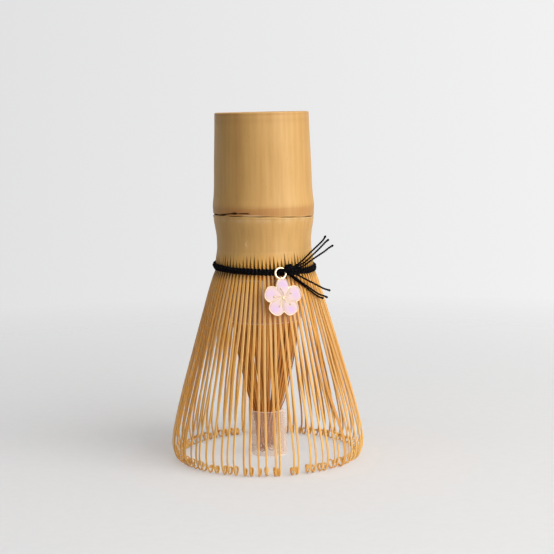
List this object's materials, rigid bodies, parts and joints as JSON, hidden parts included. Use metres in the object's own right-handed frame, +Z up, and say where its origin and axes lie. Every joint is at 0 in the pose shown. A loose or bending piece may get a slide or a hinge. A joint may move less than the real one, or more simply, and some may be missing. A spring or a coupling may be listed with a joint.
{
  "type": "bamboo tea whisk",
  "caption": "Bamboo tea whisk with hollow culm handle, flared outer and gathered inner tines, black tied cord, clear tip tube and a small enamel blossom charm on a ring.",
  "frame": {"origin": "on the ground at the whisk's axis, where it stands on the tips of its tines", "axes": "+Z up the handle; -Y towards the side that carries the charm and the knot"},
  "size_m": [0.0616, 0.0616, 0.11],
  "materials": {
    "bamboo_culm": "satin bamboo skin, fine grain along the stalk",
    "bamboo_outer": "split and scraped bamboo, satin",
    "bamboo_inner": "split and scraped bamboo, satin, browner",
    "black_cord": "twisted cotton",
    "pale_gold": "polished, pale gold plate",
    "pink_enamel": "glossy enamel",
    "clear_film": "clear film"
  },
  "bodies": {
    "whisk": {"handle": "bamboo_culm", "outer_tines": "bamboo_outer", "inner_tines": "bamboo_inner", "cord_band": "black_cord", "cord_weave": "black_cord", "cord_knot": "black_cord", "cord_tail_up_1": "black_cord", "cord_tail_up_2": "black_cord", "cord_tail_up_3": "black_cord", "cord_tail_down_1": "black_cord", "cord_tail_down_2": "black_cord", "cord_tail_down_3": "black_cord"},
    "tip_sleeve": {"tip_sleeve": "clear_film"},
    "spreader_collar": {"spreader_collar": "clear_film"},
    "jump_ring": {"jump_ring": "pale_gold"},
    "charm": {"charm_frame": "pale_gold", "charm_petal_1": "pink_enamel", "charm_petal_2": "pink_enamel", "charm_petal_3": "pink_enamel", "charm_petal_4": "pink_enamel", "charm_petal_5": "pink_enamel"}
  },
  "joints": [
    {"name": "tip_sleeve_pull", "type": "slide", "parent": "whisk", "child": "tip_sleeve", "axis": [0, 0, -1], "range_m": [0, 0.015]},
    {"name": "spreader_collar_pull", "type": "slide", "parent": "whisk", "child": "spreader_collar", "axis": [0, 0, -1], "range_m": [0, 0.065]},
    {"name": "jump_ring_turn", "type": "hinge", "parent": "whisk", "child": "jump_ring", "pos_m": [0.005, -0.01667, 0.06075], "axis": [0.2805, -0.9351, 0.2164], "range_deg": [-20, 20]},
    {"name": "charm_lift", "type": "hinge", "parent": "jump_ring", "child": "charm", "pos_m": [0.0051, -0.01701, 0.05914], "axis": [-0.9578, -0.2874, 0], "range_deg": [0, 35]}
  ]
}
